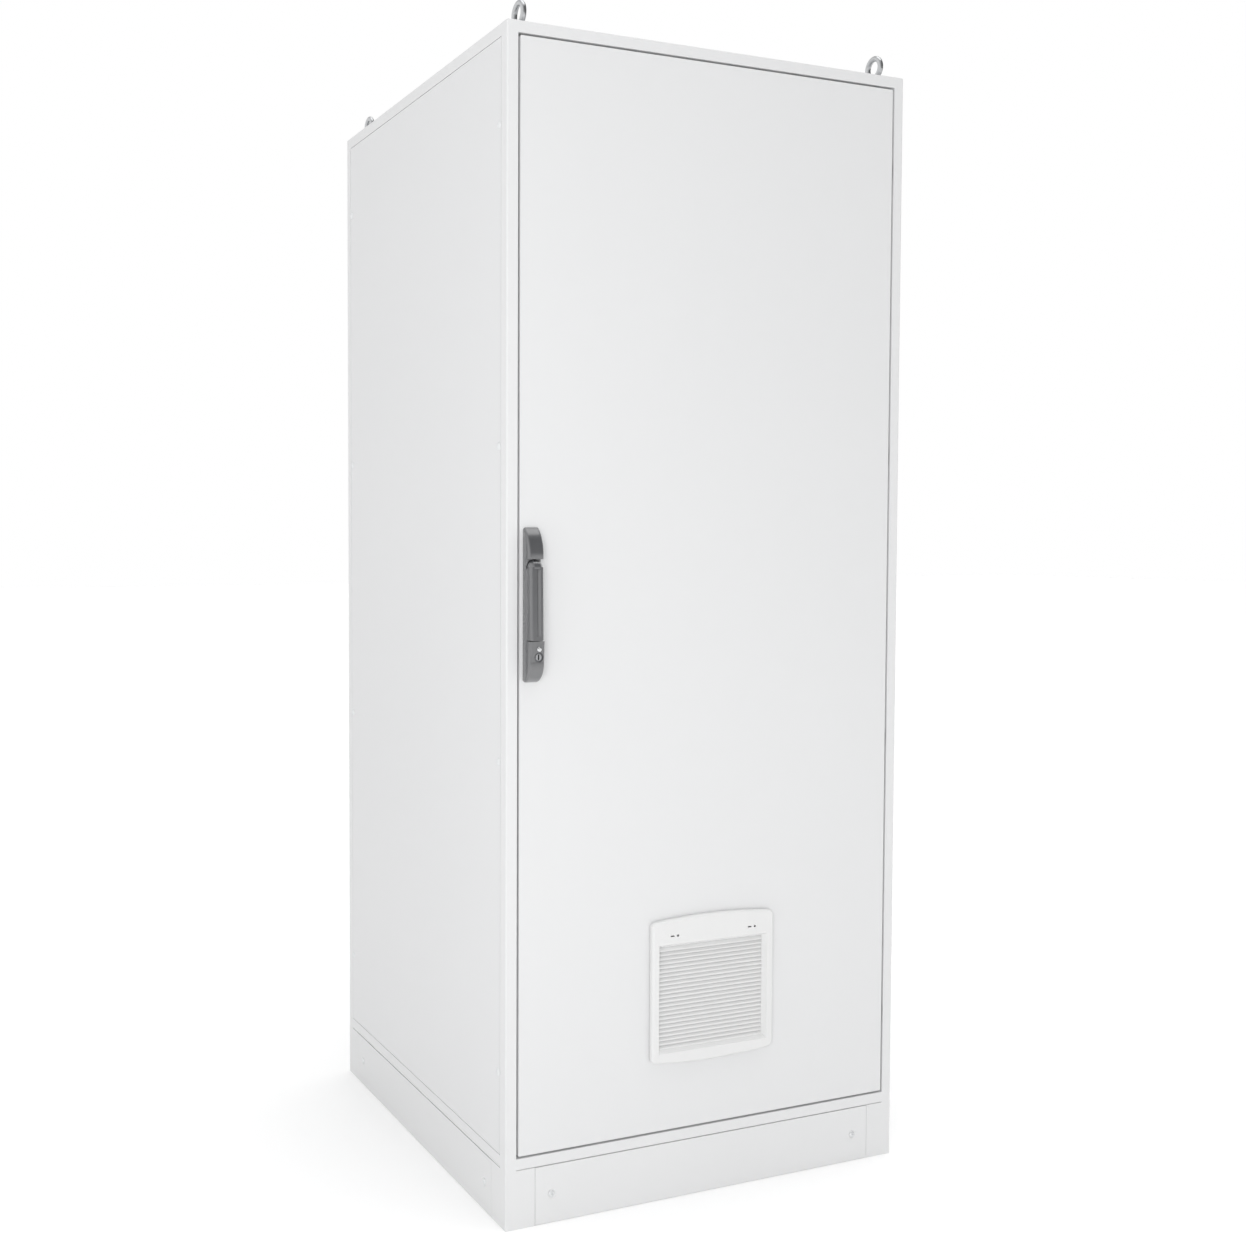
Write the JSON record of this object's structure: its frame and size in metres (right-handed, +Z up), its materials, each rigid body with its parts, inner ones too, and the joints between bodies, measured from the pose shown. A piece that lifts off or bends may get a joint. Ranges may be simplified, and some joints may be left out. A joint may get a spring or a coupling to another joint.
{
  "type": "battery cabinet",
  "caption": "Free-standing steel battery cabinet on a plinth, with a hinged door, swing-handle rod lock, filtered air inlet, shelves for batteries and lifting eyes.",
  "frame": {"origin": "middle of the floor area that the plinth stands on, at floor level", "axes": "+X to the right as seen from in front of the door, +Y to the back, +Z up"},
  "size_m": [0.8052, 0.8326, 2.045],
  "materials": {
    "cabinet_paint": "fine-grained powder coat, light grey",
    "panel_paint": "fine-grained powder coat, light grey",
    "plinth_paint": "fine-grained powder coat, light grey",
    "zinc_sheet": "galvanised",
    "zinc_screw": "zinc plated",
    "eye_zinc": "bright zinc on forged steel",
    "handle_plastic": "dark grey glass-filled polyamide, matt",
    "lock_chrome": "chromed zinc casting",
    "cast_zinc": "zinc die casting",
    "seal_rubber": "foamed polyurethane",
    "inlet_plastic": "light grey ABS, fine grain",
    "filter_fleece": "white filter fleece",
    "device_plastic": "light grey thermoplastic",
    "toggle_plastic": "black thermoplastic",
    "terminal_plastic": "grey polyamide"
  },
  "bodies": {
    "cabinet": {"post_front_left": "cabinet_paint", "post_front_right": "cabinet_paint", "post_rear_left": "cabinet_paint", "post_rear_right": "cabinet_paint", "top_rail_front": "cabinet_paint", "top_rail_rear": "cabinet_paint", "top_rail_left": "cabinet_paint", "top_rail_right": "cabinet_paint", "base_rail_front": "cabinet_paint", "base_rail_rear": "cabinet_paint", "base_rail_left": "cabinet_paint", "base_rail_right": "cabinet_paint", "side_panel_left": "panel_paint", "side_panel_right": "panel_paint", "rear_panel": "panel_paint", "roof_panel": "panel_paint", "panel_screws": "zinc_screw", "eyebolts": "eye_zinc", "plinth_corners": "plinth_paint", "plinth_cover_front": "plinth_paint", "plinth_cover_rear": "plinth_paint", "plinth_cover_left": "plinth_paint", "plinth_cover_right": "plinth_paint", "plinth_cover_screws": "zinc_screw", "plinth_bolts": "zinc_screw", "floor_plate": "zinc_sheet", "gland_plate": "zinc_sheet", "mounting_strips": "zinc_sheet", "shelf_runners": "zinc_sheet", "battery_shelf_1": "zinc_sheet", "battery_shelf_2": "zinc_sheet", "battery_shelf_3": "zinc_sheet", "battery_shelf_4": "zinc_sheet", "din_rail": "zinc_sheet", "battery_breaker": "device_plastic", "terminal_blocks": "terminal_plastic", "hinge_frame_leaves": "cast_zinc", "hinge_pins": "zinc_screw"},
    "door": {"door_panel": "cabinet_paint", "door_gasket": "seal_rubber", "door_rails": "zinc_sheet", "hinge_door_leaves": "cast_zinc", "handle_base": "handle_plastic", "handle_screws": "zinc_screw", "lock_cylinder": "lock_chrome", "gearbox_case": "cast_zinc", "rod_guides": "handle_plastic", "vent_housing": "inlet_plastic", "vent_hinge_pins": "zinc_screw", "filter_mat": "filter_fleece"},
    "handle_hub": {"handle_hub": "cast_zinc", "drive_pinion": "cast_zinc", "lever_pin": "zinc_screw"},
    "handle_lever": {"handle_lever": "handle_plastic"},
    "upper_rod": {"upper_rod": "zinc_screw"},
    "lower_rod": {"lower_rod": "zinc_screw"},
    "key_plug": {"key_plug": "lock_chrome"},
    "release_button": {"release_button": "lock_chrome"},
    "vent_cover": {"vent_cover": "inlet_plastic"},
    "breaker_toggle": {"breaker_toggle": "toggle_plastic"}
  },
  "joints": [
    {"name": "door_hinge", "type": "hinge", "parent": "cabinet", "child": "door", "pos_m": [0.366, -0.392, 1.05], "axis": [0, 0, 1], "range_deg": [0, 110]},
    {"name": "handle_turn", "type": "hinge", "parent": "door", "child": "handle_hub", "pos_m": [-0.35575, -0.4, 1.1129], "axis": [0, -1, 0], "range_deg": [0, 90]},
    {"name": "lever_lift", "type": "hinge", "parent": "handle_hub", "child": "handle_lever", "pos_m": [-0.35575, -0.4145, 1.1129], "axis": [-1, 0, 0], "range_deg": [0, 40]},
    {"name": "upper_rod_slide", "type": "slide", "parent": "door", "child": "upper_rod", "axis": [0, 0, -1], "range_m": [0, 0.01414]},
    {"name": "lower_rod_slide", "type": "slide", "parent": "door", "child": "lower_rod", "axis": [0, 0, 1], "range_m": [0, 0.01414]},
    {"name": "key_turn", "type": "hinge", "parent": "door", "child": "key_plug", "pos_m": [-0.35305, -0.424, 0.9648], "axis": [0, -1, 0], "range_deg": [0, 90]},
    {"name": "button_push", "type": "slide", "parent": "door", "child": "release_button", "axis": [0, 1, 0], "range_m": [0, 0.003], "stiffness_N_per_m": 100, "springref_m": -0.004},
    {"name": "vent_cover_tilt", "type": "hinge", "parent": "door", "child": "vent_cover", "pos_m": [0, -0.4064, 0.2455], "axis": [1, 0, 0], "range_deg": [0, 85]},
    {"name": "breaker_switch", "type": "hinge", "parent": "cabinet", "child": "breaker_toggle", "pos_m": [-0.12, -0.351, 1.74], "axis": [-1, 0, 0], "range_deg": [0, 56]}
  ],
  "couplings": [
    {"joint": "upper_rod_slide", "follows": "handle_turn", "m_per_rad": 0.009},
    {"joint": "lower_rod_slide", "follows": "handle_turn", "m_per_rad": 0.009}
  ]
}
